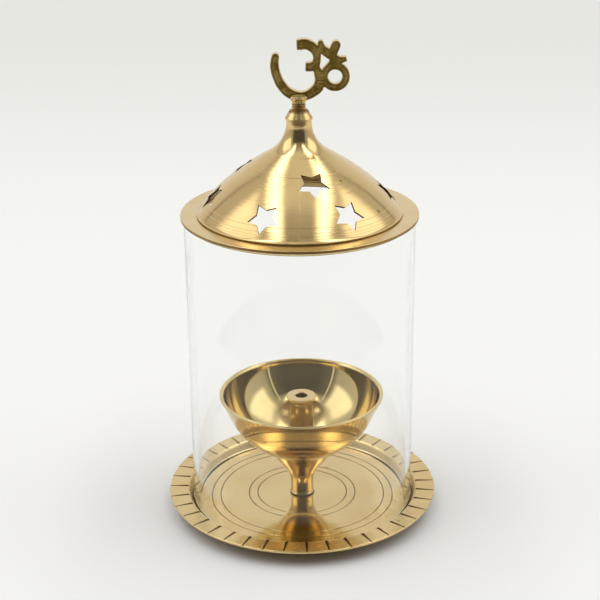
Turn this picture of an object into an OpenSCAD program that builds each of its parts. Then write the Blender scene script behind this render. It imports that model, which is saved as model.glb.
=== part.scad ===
// Akhand diya: a brass oil lamp with a notched plate, a pedestal bowl with a wick tube,
// a glass chimney and a pierced dome lid that carries an Om finial.
// Millimetres, +Z up. The origin is the centre of the foot ring, on the table.
// The front of the lamp faces -Y.

/* [Base plate] */
// Thickness of the plate sheet
plate_t = 1.2; // [0.8:0.1:1.6]
// Width of the flat notched rim
rim_w = 8.8; // [6:0.1:14]
// Height of the rim top above the plate floor
wall_h = 3.8; // [3:0.1:8]
// How far the wall leans outwards over its height
wall_lean = 1.7; // [0.5:0.1:2.5]
// Height of the foot ring under the plate
foot_h = 2.7; // [1.6:0.1:5]
// Mean diameter of the foot ring
foot_d = 84; // [60:1:94]
// Width of the foot ring
foot_w = 2.4; // [1.5:0.1:4]
// Number of chiselled notches round the rim
notch_n = 40; // [24:1:48]
// Turn of the first notch from the front
notch_turn = 1.8; // [0:0.1:9]
// Width of a notch at the rim's surface
notch_w = 1.1; // [0.6:0.1:2]
// Depth of a notch
notch_depth = 0.5; // [0.2:0.1:0.7]
// Plain strip of rim left at each end of a notch
notch_margin = 0.6; // [0.3:0.1:1.5]
// Diameter of the inner engraved pair of floor rings
ring_in_d = 41.1; // [34:0.1:50]
// Diameter of the outer engraved pair of floor rings
ring_out_d = 75.5; // [64:0.1:84]
// Radial distance between the two lines of a pair
ring_gap = 4; // [2:0.1:6]
// Width of an engraved line
groove_w = 0.5; // [0.3:0.1:1]
// Depth of an engraved line
groove_depth = 0.25; // [0.1:0.05:0.5]

/* [Base screw] */
// Thread diameter of the screw that holds plate, stem and bowl together
screw_d = 5; // [4:0.5:6]
// Diameter of its low round head
screw_head_d = 9; // [8:0.5:12]
// Height of its head
screw_head_h = 1.4; // [1:0.1:1.5]
// Width of the driver slot
slot_w = 1.2; // [0.8:0.1:1.6]
// Depth of the driver slot
slot_depth = 0.7; // [0.4:0.1:0.8]
// How far the screw bites into the bowl
screw_bite = 3.2; // [2.5:0.1:6]
// Radial clearance of the screw in its holes
screw_clear = 0.1; // [0.05:0.05:0.3]

/* [Stem] */
// Height of the stem from the plate floor to the bowl's seat
stem_h = 19; // [15:0.1:30]
// Diameter of the slim waist
waist_d = 10.2; // [9:0.1:14]
// Height of the waist, where the flare starts
waist_z = 4.5; // [4:0.1:9]
// Diameter at the very foot
stem_foot_d = 11.2; // [10:0.1:16]
// Height of the band at the foot
stem_foot_h = 0.8; // [0.4:0.1:2]
// Diameter at the top of the flare
flare_d = 24.2; // [20:0.2:30]
// Lean of the flare's straight top part from the upright, in degrees
flare_lean = 37; // [25:1:50]

/* [Bowl] */
// Outside diameter of the bowl's rim
bowl_d = 74.5; // [66:0.1:84]
// Height of the bowl from its seat to its rim
bowl_h = 32; // [28:0.1:40]
// Height of the straight conical band under the rim
band_h = 11.9; // [8:0.1:18]
// Diameter where the band meets the round belly
belly_d = 63.6; // [54:0.2:68]
// Height of the belly's lowest point above the seat
belly_rise = 1; // [0.4:0.1:3]
// Wall of the bowl at its lowest point
bowl_t = 1.6; // [1.2:0.1:2.5]
// Width of the rim's flat top
bowl_lip = 1.95; // [1.2:0.05:3]
// Least wall of the bowl where the band meets the belly
bowl_thin = 0.6; // [0.4:0.1:1.2]
// Diameter where the skirt above the stem runs into the belly
skirt_d = 30; // [25:0.2:40]
// Diameter of the raised socket inside the bowl
socket_d = 15; // [13:0.2:18]
// Depth of the socket that holds the wick tube
socket_depth = 3.5; // [2.5:0.1:6]
// Metal left between the socket and the screw hole
socket_web = 0.6; // [0.4:0.1:2]

/* [Wick tube] */
// Diameter of the tube
tube_d = 10.4; // [9:0.1:12]
// Bore for the wick
wick_d = 5.4; // [4:0.1:6]
// Diameter of the flared head
tube_head_d = 13.2; // [12.2:0.1:16]
// Height of the head's straight edge
tube_head_t = 1.1; // [0.6:0.1:2]
// Height of the taper under the head
tube_taper = 1.5; // [0.8:0.1:3]
// How far the head lies below the bowl's rim
tube_drop = 1.9; // [0:0.1:4]
// Diameter of the spigot in the socket
spigot_d = 8; // [7.2:0.1:8.6]
// Radial running clearance of the spigot
spigot_clear = 0.05; // [0.02:0.01:0.1]
// Width of the two oil feed slots
feed_w = 2.4; // [1.5:0.1:4]
// Height of the feed slots
feed_h = 6; // [4:0.5:9]

/* [Chimney] */
// Outside diameter of the glass tube
glass_d = 100; // [92:1:110]
// Wall of the glass
glass_t = 2.3; // [1.8:0.1:3]
// Height of the glass
glass_h = 134.75; // [100:0.05:170]
// Radial clearance between the glass and the plate's wall
glass_clear = 0.5; // [0.3:0.1:1]

/* [Lid] */
// How far the flange overhangs the glass
flange_over = 1.3; // [0.8:0.1:4]
// Thickness of the flange
flange_t = 1.25; // [0.8:0.05:2]
// Width of the flange inside the dome's foot
flange_ledge = 1.2; // [0.6:0.1:4]
// Height of the locating lip under the flange
lip_h = 2; // [1.5:0.1:4]
// Wall of the locating lip
lip_t = 1.2; // [0.8:0.1:2]
// Radial clearance of the lip inside the glass
lip_clear = 0.5; // [0.3:0.1:1]
// Diameter of the dome at its foot
dome_d = 89; // [82:0.2:90]
// Height of the dome from the flange to the top of its neck
dome_h = 40.8; // [38:0.1:52]
// Wall of the dome
dome_t = 1; // [0.8:0.1:1.4]
// Diameter of the neck
neck_d = 10.8; // [10.2:0.1:13]
// Height of the straight part of the neck
neck_h = 1; // [0.8:0.1:6]
// Radius of the sweep from the neck into the dome's flank
throat_r = 14.6; // [10:0.1:18]
// Slope of the flank from the horizontal
flank_slope = 32.4; // [28:0.1:38]
// Length of the straight flank
flank_len = 9.5; // [4:0.1:14]
// Number of stars in the lower row
star_low_n = 6; // [4:1:7]
// Number of stars in the upper row
star_high_n = 3; // [2:1:4]
// Height of the lower star centres above the flange
star_low_z = 8.4; // [7.5:0.1:10]
// Height of the upper star centres above the flange
star_high_z = 19.3; // [17:0.1:20.5]
// Turn of the first lower star from the front
star_low_turn = -23.3; // [-60:0.1:60]
// Angle between the two stars at the front of the lower row
star_front_gap = 56; // [50:1:70]
// Turn of the first upper star from the front
star_high_turn = 13.4; // [-60:0.1:60]
// Radius of a star's points
star_r = 7.2; // [5:0.1:8]
// Radius of a star's inner corners
star_in_r = 3.9; // [2.5:0.1:4.5]

/* [Neck collar] */
// Widest diameter of the collar
collar_d = 11.7; // [11:0.1:15]
// Height of the collar above the neck
collar_h = 4.1; // [2:0.05:5]
// Diameter of the collar's top
collar_top_d = 7.8; // [6.6:0.1:10]
// Height of the collar's straight edge
collar_edge = 0.8; // [0.4:0.1:1.5]
// Length of the threaded bush inside the neck
bush_len = 9; // [6:0.5:14]
// Clearance of the bush in the neck, by radius
bush_clear = 0.05; // [0.02:0.01:0.1]

/* [Finial] */
// Thread diameter of the stud
stud_d = 6; // [5:0.1:7]
// Radial running clearance of the stud in the bush and in the Om
stud_clear = 0.05; // [0.02:0.01:0.1]
// Length of the stud that shows between the collar and the Om
stud_show = 2.55; // [2:0.05:6]
// Thread pitch
stud_pitch = 1; // [0.8:0.05:1.25]
// Depth of the thread that shows
thread_depth = 0.35; // [0.2:0.05:0.5]
// Diameter of the pin that the Om turns on
pin_d = 3; // [2:0.1:4]
// Length of that pin
pin_len = 2.2; // [1.5:0.1:2.6]
// Height of the Om
om_h = 27.4; // [22:0.1:34]
// Thickness of the Om
om_t = 3.5; // [2:0.1:5]
// Diameter of the boss under the Om
om_boss_d = 6.6; // [5.6:0.1:8]
// Height of that boss
om_boss_h = 3.2; // [3:0.1:5]

/* [Hidden] */
$fn = 96;

// Cutters reach this far past the faces they cut
over = 1;
// Steps along a drawn arc
arc_n = 12;
// Steps between two points of a drawn stroke
stroke_n = 4;

// Levels
floor_z = foot_h + plate_t;
rim_z = floor_z + wall_h;
stem_top = floor_z + stem_h;
bowl_rim_z = stem_top + bowl_h;
socket_z = stem_top + screw_bite + socket_web;
socket_top = socket_z + socket_depth;
tube_top = bowl_rim_z - tube_drop;
glass_top = floor_z + glass_h;
flange_top = glass_top + flange_t;
neck_top = flange_top + dome_h;
collar_top = neck_top + collar_h;
om_z = collar_top + stud_show;

// Plate radii
wall_in = glass_d / 2 + glass_clear;
wall_out = wall_in + wall_lean;
rim_r = wall_out + rim_w;
screw_hole = screw_d / 2 + screw_clear;

// Bowl belly: a sphere through the lower edge of the band, with its lowest point on the axis
belly_h = bowl_h - band_h - belly_rise;
belly_r = (belly_d * belly_d / 4 + belly_h * belly_h) / (2 * belly_h);
belly_c = stem_top + belly_rise + belly_r;
band_lean = (bowl_d - belly_d) / 2 / band_h;
// Inside of the bowl: one round dish from the rim's inner edge to its lowest point
dish_edge = bowl_d / 2 - bowl_lip;
dish_z = stem_top + belly_rise + bowl_t;
dish_h = bowl_rim_z - dish_z;
dish_r = (dish_edge * dish_edge + dish_h * dish_h) / (2 * dish_h);
dish_c = dish_z + dish_r;

// Flare of the stem: an arc that leaves the waist upright, then a straight cone to the top edge
flare_rise = stem_h - waist_z;
flare_out = (flare_d - waist_d) / 2;
flare_r = (flare_rise * sin(flare_lean) - flare_out * cos(flare_lean)) / (1 - cos(flare_lean));

// Dome curve: neck, throat arc, straight flank, and a full arc down to the foot
throat_z = dome_h - neck_h;
throat_end = [neck_d / 2 + throat_r * (1 - sin(flank_slope)), throat_z - throat_r * cos(flank_slope)];
flank_end = throat_end + flank_len * [cos(flank_slope), -sin(flank_slope)];
dome_foot = [dome_d / 2, 0];
flank_in = [-sin(flank_slope), -cos(flank_slope)];
dome_reach = dome_foot - flank_end;
dome_r = dome_reach * dome_reach / (2 * dome_reach * flank_in);
dome_c = flank_end + dome_r * flank_in;

// Lid and finial radii
lip_out = glass_d / 2 - glass_t - lip_clear;
flange_in = dome_d / 2 - dome_t - flange_ledge;
neck_in = neck_d / 2 - dome_t;
thread_r = stud_d / 2;

// Height in which the Om is drawn
om_draw_h = 27.4;

function arc(centre, r, from, to, n = arc_n) =
    [for (i = [0 : n]) let (a = from + (to - from) * i / n) centre + r * [cos(a), sin(a)]];

function reversed(pts) = [for (i = [len(pts) - 1 : -1 : 0]) pts[i]];

// Unit normal on the left of a path at point i
function path_normal(pts, i) =
    let (d = pts[min(i + 1, len(pts) - 1)] - pts[max(i - 1, 0)],
         l = norm([d[0], d[1]]))
    [-d[1], d[0]] / l;

// The path moved sideways by a distance that may change along it
function beside(pts, dist) =
    [for (i = [0 : len(pts) - 1])
        let (w = is_list(dist) ? dist[i] : dist)
        [pts[i][0], pts[i][1]] + w * path_normal(pts, i)];

// Smooth curve through all points of a list
function curve_at(p, q, r, s, t) =
    0.5 * (2 * q + (r - p) * t + (2 * p - 5 * q + 4 * r - s) * t * t
           + (3 * q - p - 3 * r + s) * t * t * t);
function smooth(pts) =
    let (m = len(pts) - 1)
    [for (i = [0 : m - 1], k = [0 : stroke_n - 1])
        curve_at(pts[max(i - 1, 0)], pts[i], pts[i + 1], pts[min(i + 2, m)], k / stroke_n),
     pts[m]];

function turned(angle) = angle - 90;

// A V groove in a floor profile, drawn inwards
function groove(r, z) = [[r + groove_w / 2, z], [r, z - groove_depth], [r - groove_w / 2, z]];

module base_plate() {
    rings = [ring_out_d / 2 + ring_gap, ring_out_d / 2, ring_in_d / 2 + ring_gap, ring_in_d / 2];
    color("#c9ab6b")
    difference() {
        rotate_extrude()
            polygon(concat(
                [[screw_hole, foot_h],
                 [foot_d / 2 - foot_w / 2, foot_h], [foot_d / 2 - foot_w / 2, 0],
                 [foot_d / 2 + foot_w / 2, 0], [foot_d / 2 + foot_w / 2, foot_h],
                 [wall_in + plate_t, foot_h], [wall_out + plate_t, rim_z - plate_t],
                 [rim_r - plate_t / 4, rim_z - plate_t], [rim_r, rim_z - plate_t * 3 / 4],
                 [rim_r, rim_z - plate_t / 4], [rim_r - plate_t / 4, rim_z],
                 [wall_out, rim_z], [wall_in, floor_z]],
                [for (r = rings) each groove(r, floor_z)],
                [[screw_hole, floor_z]]));
        for (i = [0 : notch_n - 1])
            rotate(turned(notch_turn + i * 360 / notch_n))
                translate([wall_out + notch_margin, 0, rim_z]) rim_notch();
    }
}

module rim_notch() {
    rotate([90, 0, 90])
        linear_extrude(rim_w - 2 * notch_margin)
            polygon([[-notch_w / 2, 0], [0, -notch_depth], [notch_w / 2, 0],
                     [notch_w / 2, over], [-notch_w / 2, over]]);
}

module base_screw() {
    color("#b08d4a")
    difference() {
        union() {
            translate([0, 0, foot_h - screw_head_h]) cylinder(d = screw_head_d, h = screw_head_h);
            translate([0, 0, foot_h]) cylinder(d = screw_d, h = plate_t + stem_h + screw_bite - screw_clear);
        }
        translate([-screw_head_d, -slot_w / 2, foot_h - screw_head_h - over])
            cube([2 * screw_head_d, slot_w, over + slot_depth]);
    }
}

module pedestal_stem() {
    flare = arc([waist_d / 2 + flare_r, waist_z], flare_r, 180, 180 - flare_lean);
    color("#c9ab6b")
    translate([0, 0, floor_z])
        rotate_extrude()
            polygon(concat(
                [[screw_hole, 0], [stem_foot_d / 2, 0], [stem_foot_d / 2, stem_foot_h],
                 [waist_d / 2, stem_foot_h * 2]],
                flare,
                [[flare_d / 2, stem_h], [screw_hole, stem_h]]));
}

// Outside radius of the bowl at a height
function bowl_out(z) =
    let (up = z - bowl_rim_z + band_h)
    up > 0 ? belly_d / 2 + band_lean * up : sqrt(max(0, belly_r * belly_r - (belly_c - z) * (belly_c - z)));

module oil_bowl() {
    belly_edge = asin(belly_d / 2 / belly_r);
    skirt_edge = asin(skirt_d / 2 / belly_r);
    boss_edge = asin(socket_d / 2 / dish_r);
    dish = arc([0, dish_c], dish_r, -90 + atan2(dish_edge, dish_c - bowl_rim_z), -90 + boss_edge);
    color("#d4b05c")
    difference() {
        rotate_extrude()
            polygon(concat(
                [[0, stem_top], [flare_d / 2, stem_top]],
                arc([0, belly_c], belly_r, -90 + skirt_edge, -90 + belly_edge),
                [[bowl_d / 2, bowl_rim_z]],
                [for (p = dish) [min(p[0], bowl_out(p[1]) - bowl_thin), p[1]]],
                [[socket_d / 2, socket_top], [0, socket_top]]));
        translate([0, 0, socket_z]) cylinder(d = spigot_d + 2 * spigot_clear, h = socket_depth + over);
        translate([0, 0, stem_top - over]) cylinder(r = screw_hole, h = screw_bite + over);
    }
}

module wick_tube() {
    color("#c8a45a")
    difference() {
        rotate_extrude()
            polygon([[wick_d / 2, socket_z + spigot_clear], [spigot_d / 2, socket_z + spigot_clear],
                     [spigot_d / 2, socket_top], [tube_d / 2, socket_top],
                     [tube_d / 2, tube_top - tube_head_t - tube_taper],
                     [tube_head_d / 2, tube_top - tube_head_t],
                     [tube_head_d / 2, tube_top], [wick_d / 2, tube_top]]);
        translate([-tube_d, -feed_w / 2, socket_top + feed_w / 2]) cube([2 * tube_d, feed_w, feed_h]);
    }
}

module chimney_glass() {
    color("#e8f0f2", 0.3)
    translate([0, 0, floor_z])
        difference() {
            cylinder(d = glass_d, h = glass_h);
            translate([0, 0, -over]) cylinder(d = glass_d - 2 * glass_t, h = glass_h + 2 * over);
        }
}

module lid_flange() {
    color("#cdb277")
    rotate_extrude()
        polygon([[flange_in, glass_top], [lip_out - lip_t, glass_top], [lip_out - lip_t, glass_top - lip_h],
                 [lip_out, glass_top - lip_h], [lip_out, glass_top],
                 [glass_d / 2 + flange_over, glass_top], [glass_d / 2 + flange_over, flange_top],
                 [flange_in, flange_top]]);
}

// Outer curve of the dome from the neck down to the foot, measured from the flange
function dome_curve() =
    concat([[neck_d / 2, dome_h]],
           arc([neck_d / 2 + throat_r, throat_z], throat_r, 180, 270 - flank_slope),
           arc(dome_c, dome_r, 90 - flank_slope, atan2(-dome_c[1], dome_foot[0] - dome_c[0])));

module lid_dome() {
    outer = dome_curve();
    inner = [for (p = beside(outer, -dome_t)) [max(p[0], neck_in), p[1]]];
    last = len(inner) - 1;
    color("#d2b269")
    translate([0, 0, flange_top])
        difference() {
            rotate_extrude()
                polygon(concat(
                    outer,
                    [[inner[last][0], 0]],
                    reversed([for (i = [1 : last - 1]) inner[i]]),
                    [[neck_in, dome_h]]));
            star_row(concat([star_low_turn],
                            [for (i = [0 : star_low_n - 2])
                                star_low_turn + star_front_gap
                                + i * (360 - star_front_gap) / (star_low_n - 1)]), star_low_z);
            star_row([for (i = [0 : star_high_n - 1]) star_high_turn + i * 360 / star_high_n], star_high_z);
        }
}

module star_row(turns, height) {
    r = dome_c[0] + sqrt(dome_r * dome_r - pow(height - dome_c[1], 2));
    lean = atan2(r - dome_c[0], height - dome_c[1]);
    for (turn = turns)
        rotate(turned(turn))
            translate([r, 0, height]) rotate([0, lean, 0]) star_cutter();
}

// Five points, one of them down the slope
module star_cutter() {
    translate([0, 0, -3 * dome_t])
        linear_extrude(5 * dome_t)
            polygon([for (i = [0 : 9]) (i % 2 == 0 ? star_r : star_in_r) * [cos(i * 36), sin(i * 36)]]);
}

module neck_collar() {
    bore = thread_r + stud_clear;
    color("#cfae62")
    rotate_extrude()
        polygon([[bore, neck_top - bush_len], [neck_in - bush_clear, neck_top - bush_len],
                 [neck_in - bush_clear, neck_top], [collar_d / 2, neck_top],
                 [collar_d / 2, neck_top + collar_edge], [collar_top_d / 2, collar_top],
                 [bore, collar_top]]);
}

module finial_stud() {
    turns = floor(stud_show / stud_pitch) - 1;
    thread_z = collar_top + stud_pitch / 2;
    color("#a8873f")
    rotate_extrude()
        polygon(concat(
            [[0, neck_top - bush_len], [thread_r, neck_top - bush_len], [thread_r, thread_z]],
            [for (i = [0 : turns - 1]) each
                [[thread_r - thread_depth, thread_z + (i + 0.5) * stud_pitch],
                 [thread_r, thread_z + (i + 1) * stud_pitch]]],
            [[thread_r, om_z], [pin_d / 2, om_z], [pin_d / 2, om_z + pin_len], [0, om_z + pin_len]]));
}

// The Om is drawn facing the front, x to the right and y up, as strokes of [x, y, half width]
sweep = [[-9.5, 20, 1.5], [-9.9, 17.5, 1.65], [-9.8, 15.2, 1.75], [-9.2, 12.6, 1.75], [-7.5, 8.7, 1.85],
         [-4.4, 5.1, 1.9], [0, 3.3, 1.9], [3.2, 3.7, 1.8], [5.5, 4.8, 1.9], [8.1, 7.1, 2.15],
         [8.9, 10.2, 2], [8.4, 12.7, 1.85], [7.7, 14.7, 1.5], [7.4, 16.4, 1.1]];
upper_bowl = [[-0.7, 25, 2], [0.9, 25.1, 2.1], [2.6, 25.3, 2.1], [4.5, 24.8, 2], [6.4, 23.4, 1.9],
              [7.5, 21.4, 1.7], [7.7, 19, 1.5], [7, 16.8, 1.8], [5.2, 15.8, 1.8], [2.9, 15.8, 1.7]];
crossing = [[9.2, 25.7, 1.1], [9.9, 23.3, 1.6], [11.4, 22, 1.8], [13.4, 20.6, 1.8], [15.5, 19, 1.6],
            [17.6, 18.6, 1.3], [20, 19.1, 0.9]];
right_limb = [[15.6, 24.8, 1.8], [14.6, 22.4, 1.8], [14.1, 20.1, 1.5], [14, 17.9, 1.1], [11.1, 14.2, 1.2]];
loop_centre = [15.2, 11.6];
loop_in = 3;
loop_out = 6.1;

// A stroke with a flat end and, where asked, a round start
module om_stroke(pts, round_start) {
    path = smooth(pts);
    widths = [for (p = path) p[2]];
    side = path_normal(path, 0);
    from = atan2(-side[1], -side[0]);
    cap = [for (p = arc([path[0][0], path[0][1]], widths[0], from, from - 180)) p];
    right = reversed(beside(path, -widths));
    polygon(concat(beside(path, widths), right, round_start ? [for (i = [1 : arc_n - 1]) cap[i]] : []));
}

module om_outline() {
    for (s = [sweep, crossing, right_limb]) om_stroke(s, true);
    om_stroke(upper_bowl, false);
    translate(loop_centre)
        difference() {
            circle(loop_out);
            circle(loop_in);
        }
}

module om_finial() {
    color("#8a6b2c")
    translate([0, 0, om_z])
        difference() {
            union() {
                scale(om_h / om_draw_h) translate([0, om_t * om_draw_h / om_h / 2, 0])
                    rotate([90, 0, 0]) linear_extrude(om_t * om_draw_h / om_h) om_outline();
                cylinder(d = om_boss_d, h = om_boss_h);
            }
            translate([0, 0, -over]) cylinder(d = pin_d + 2 * stud_clear, h = pin_len + stud_clear + over);
        }
}

base_plate();
base_screw();
pedestal_stem();
oil_bowl();
wick_tube();
chimney_glass();
lid_flange();
lid_dome();
neck_collar();
finial_stud();
om_finial();
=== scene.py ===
"""Akhand diya: a brass oil lamp with a notched plate, a glass chimney and a pierced dome lid.

Sizes below are millimetres, with heights from the table; the scene is in metres.
"""
import math

import bmesh
import bpy
from mathutils import Matrix, Vector
from mathutils.kdtree import KDTree


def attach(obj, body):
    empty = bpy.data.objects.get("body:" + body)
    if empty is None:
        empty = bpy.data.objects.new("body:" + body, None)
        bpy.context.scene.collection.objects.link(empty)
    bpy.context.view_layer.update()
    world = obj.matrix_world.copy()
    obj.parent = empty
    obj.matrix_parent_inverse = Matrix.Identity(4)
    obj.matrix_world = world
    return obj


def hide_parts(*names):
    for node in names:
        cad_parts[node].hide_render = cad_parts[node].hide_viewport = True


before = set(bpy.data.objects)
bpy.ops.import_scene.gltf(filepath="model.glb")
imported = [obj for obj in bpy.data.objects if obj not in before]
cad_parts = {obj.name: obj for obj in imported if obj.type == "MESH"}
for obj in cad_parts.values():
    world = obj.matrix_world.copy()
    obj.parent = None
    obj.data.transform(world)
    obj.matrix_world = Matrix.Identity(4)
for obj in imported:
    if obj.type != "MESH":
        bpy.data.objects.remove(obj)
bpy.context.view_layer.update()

MM = 0.001
TURN = 2 * math.pi

# Heights of the seats
FLOOR_Z = 3.9
RIM_Z = 7.7
BOWL_SEAT_Z = 22.9
BOWL_RIM_Z = 54.9
SOCKET_Z = 26.7
SOCKET_TOP_Z = 30.2
TUBE_TOP_Z = 53.0
GLASS_TOP_Z = 138.65
FLANGE_TOP_Z = 139.9
NECK_TOP_Z = 180.7
COLLAR_TOP_Z = 184.8
OM_Z = 187.35

# Total height and thickness of the Om
OM_H = 27.4
OM_THICK = 3.5

# Radii of the turned lines on the dome and on the plate's floor
DOME_LINES = (21.7, 39.8, 41.4, 42.3, 43.05)
FLOOR_LINES = (41.75, 37.75, 24.55, 20.55)

# Notches round the plate's rim, and degrees that the first one is off the front
NOTCH_COUNT = 40
NOTCH_TURN = 1.8

# Radii that several pieces share
SCREW_HOLE_R = 2.6
GLASS_R = 50.0
GLASS_WALL = 2.3
WELL_R = 50.5
RIM_IN_R = 52.2
RIM_R = 61.0
FLARE_R = 12.1
NECK_R = 5.4
STUD_R = 3.0
# Clearance of a running fit
RUNNING = 0.05


# Drawing profiles

# A narrow flat beside each fillet, so that the long face next to it shades flat
FLAT_MARGIN = 0.08
# Points closer than this are one point, in metres
SAME_POINT = 2e-6


def arc(centre, radius, start, end, steps):
    """Points on a circle, angles in degrees."""
    turns = [math.radians(start + (end - start) * i / steps) for i in range(steps + 1)]
    return [(centre[0] + radius * math.cos(a), centre[1] + radius * math.sin(a)) for a in turns]


def softened(corners, steps=4):
    """A closed profile whose corners (radius, height, fillet) are rounded where a fillet is given."""
    points = []
    for i, corner in enumerate(corners):
        here = Vector(corner[:2])
        if len(corner) < 3:
            points.append(tuple(here))
            continue
        back = (Vector(corners[i - 1][:2]) - here).normalized()
        ahead = (Vector(corners[(i + 1) % len(corners)][:2]) - here).normalized()
        half = back.angle(ahead) / 2
        centre = here + (back + ahead).normalized() * corner[2] / math.sin(half)
        run = corner[2] / math.tan(half)
        first, last = here + back * run - centre, here + ahead * run - centre
        span = first.angle(last)
        points.append(tuple(here + back * (run + FLAT_MARGIN)))
        for k in range(steps + 1):
            t = k / steps
            points.append(tuple(centre + (first * math.sin((1 - t) * span)
                                          + last * math.sin(t * span)) / math.sin(span)))
        points.append(tuple(here + ahead * (run + FLAT_MARGIN)))
    return points


def turned_line(radius, height, width, depth):
    """A shallow groove in a level surface, drawn from the outside in."""
    return [(radius + width / 2, height), (radius + width / 5, height - depth),
            (radius - width / 5, height - depth), (radius - width / 2, height)]


# Modelling

def deselect():
    """Leaves edit mode and selects nothing."""
    if bpy.context.object and bpy.context.object.mode != "OBJECT":
        bpy.ops.object.mode_set(mode="OBJECT")
    bpy.ops.object.select_all(action="DESELECT")


def pick(piece):
    """Selects this piece alone and makes it active."""
    deselect()
    bpy.context.view_layer.objects.active = piece
    piece.select_set(True)


def start_point(name, place):
    """A plane primitive cut down to one corner at a place, in edit mode."""
    deselect()
    bpy.ops.mesh.primitive_plane_add(size=MM, location=(0, 0, 0))
    piece = bpy.context.object
    piece.name = piece.data.name = name
    bpy.ops.object.mode_set(mode="EDIT")
    bpy.ops.mesh.select_all(action="DESELECT")
    mesh = bmesh.from_edit_mesh(piece.data)
    mesh.verts.ensure_lookup_table()
    for vert in mesh.verts[1:]:
        vert.select = True
    mesh.select_flush(True)
    bmesh.update_edit_mesh(piece.data)
    bpy.ops.mesh.delete(type="VERT")
    bpy.ops.mesh.select_all(action="SELECT")
    mesh = bmesh.from_edit_mesh(piece.data)
    mesh.verts.ensure_lookup_table()
    bpy.ops.transform.translate(value=Vector(place) - mesh.verts[0].co)
    return piece


def lathe(name, profile, material, steps=192, axis=(0, 0, 1), centre=(0, 0, 0)):
    """Draws a closed profile with one point and spins it about an axis."""
    side = Vector((1, 0, 0))
    up = Vector(axis)
    path = [Vector(centre) + (side * r + up * z) * MM for r, z in profile]
    piece = start_point(name, path[0])
    for before, after in zip(path, path[1:]):
        bpy.ops.mesh.extrude_region_move(TRANSFORM_OT_translate={"value": after - before})
    mesh = bmesh.from_edit_mesh(piece.data)
    ends = [v for v in mesh.verts if len(v.link_edges) == 1]
    on_axis = all((v.co - Vector(centre)).dot(side) < SAME_POINT for v in ends)
    if not on_axis:
        bpy.ops.mesh.select_all(action="DESELECT")
        for vert in ends:
            vert.select = True
        mesh.select_flush(True)
        bmesh.update_edit_mesh(piece.data)
        bpy.ops.mesh.edge_face_add()
    bpy.ops.mesh.select_all(action="SELECT")
    bpy.ops.mesh.spin(steps=steps, angle=TURN, center=centre, axis=axis)
    close_up(piece)
    piece.data.materials.append(material)
    return piece


def close_up(piece):
    """Merges seams and poles and turns the faces outwards."""
    if piece.mode != "EDIT":
        pick(piece)
        bpy.ops.object.mode_set(mode="EDIT")
    bpy.ops.mesh.select_all(action="SELECT")
    bpy.ops.mesh.remove_doubles(threshold=SAME_POINT)
    bpy.ops.mesh.normals_make_consistent(inside=False)
    bpy.ops.object.mode_set(mode="OBJECT")


def settle(piece):
    """Puts the piece's place into its mesh."""
    pick(piece)
    bpy.ops.object.transform_apply(location=True, rotation=True, scale=True)


def join(pieces):
    """Makes one object of several, under the first one's name."""
    deselect()
    for piece in pieces:
        piece.select_set(True)
    bpy.context.view_layer.objects.active = pieces[0]
    if len(pieces) > 1:
        bpy.ops.object.join()
    return pieces[0]


def apply_modifier(piece, kind, **settings):
    """Adds one modifier with its settings and applies it."""
    pick(piece)
    modifier = piece.modifiers.new(kind.lower(), kind)
    for key, value in settings.items():
        setattr(modifier, key, value)
    bpy.ops.object.modifier_apply(modifier=modifier.name)


def cut(piece, cutter, inside=None):
    """Takes the cutter away from the piece; the new faces get the finish that is named for them."""
    if inside:
        cutter.data.materials.append(inside)
    apply_modifier(piece, "BOOLEAN", object=cutter, operation="DIFFERENCE", solver="EXACT",
                   material_mode="TRANSFER")
    bpy.data.objects.remove(cutter)


def give_faces(piece, material, chosen):
    """Gives another finish to the faces that are chosen by their centre and normal."""
    pick(piece)
    piece.data.materials.append(material)
    bpy.ops.object.mode_set(mode="EDIT")
    bpy.ops.mesh.select_all(action="DESELECT")
    mesh = bmesh.from_edit_mesh(piece.data)
    for face in mesh.faces:
        face.select = chosen(face.calc_center_median(), face.normal)
    bmesh.update_edit_mesh(piece.data)
    piece.active_material_index = len(piece.data.materials) - 1
    bpy.ops.object.material_slot_assign()
    bpy.ops.object.mode_set(mode="OBJECT")


def finish_piece(piece, body, node, sharp=32):
    """Shades the piece, hangs it on its body and lets it stand for its CAD node."""
    pick(piece)
    bpy.ops.object.shade_smooth_by_angle(angle=math.radians(sharp))
    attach(piece, body)
    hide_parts(node)
    deselect()


# Finishes

class Wire:
    """A socket that Python's operators work on: each one adds a Math node."""

    def __init__(self, tree, socket):
        self.tree, self.socket = tree, socket

    def node(self, kind, settings=None, sockets=None, out=0):
        return add_node(self.tree, kind, settings, sockets, out)

    def math(self, operation, *values):
        return self.node("ShaderNodeMath", {"operation": operation}, dict(enumerate((self,) + values)))

    def __add__(self, other):
        return self.math("ADD", other)

    def __sub__(self, other):
        return self.math("SUBTRACT", other)

    def __mul__(self, other):
        return self.math("MULTIPLY", other)

    def __truediv__(self, other):
        return self.math("DIVIDE", other)

    def __rsub__(self, other):
        return self.node("ShaderNodeMath", {"operation": "SUBTRACT"}, {0: other, 1: self})

    __radd__ = __add__
    __rmul__ = __mul__

    def step(self, low, high):
        """0 below low, 1 above high, smooth between."""
        return self.node("ShaderNodeMapRange", {"interpolation_type": "SMOOTHSTEP"},
                         {"Value": self, "From Min": low, "From Max": high})

    def between(self, low, high, soft):
        """1 from low to high, 0 outside, with soft borders."""
        return self.step(low - soft, low + soft) * (1 - self.step(high - soft, high + soft))


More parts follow.
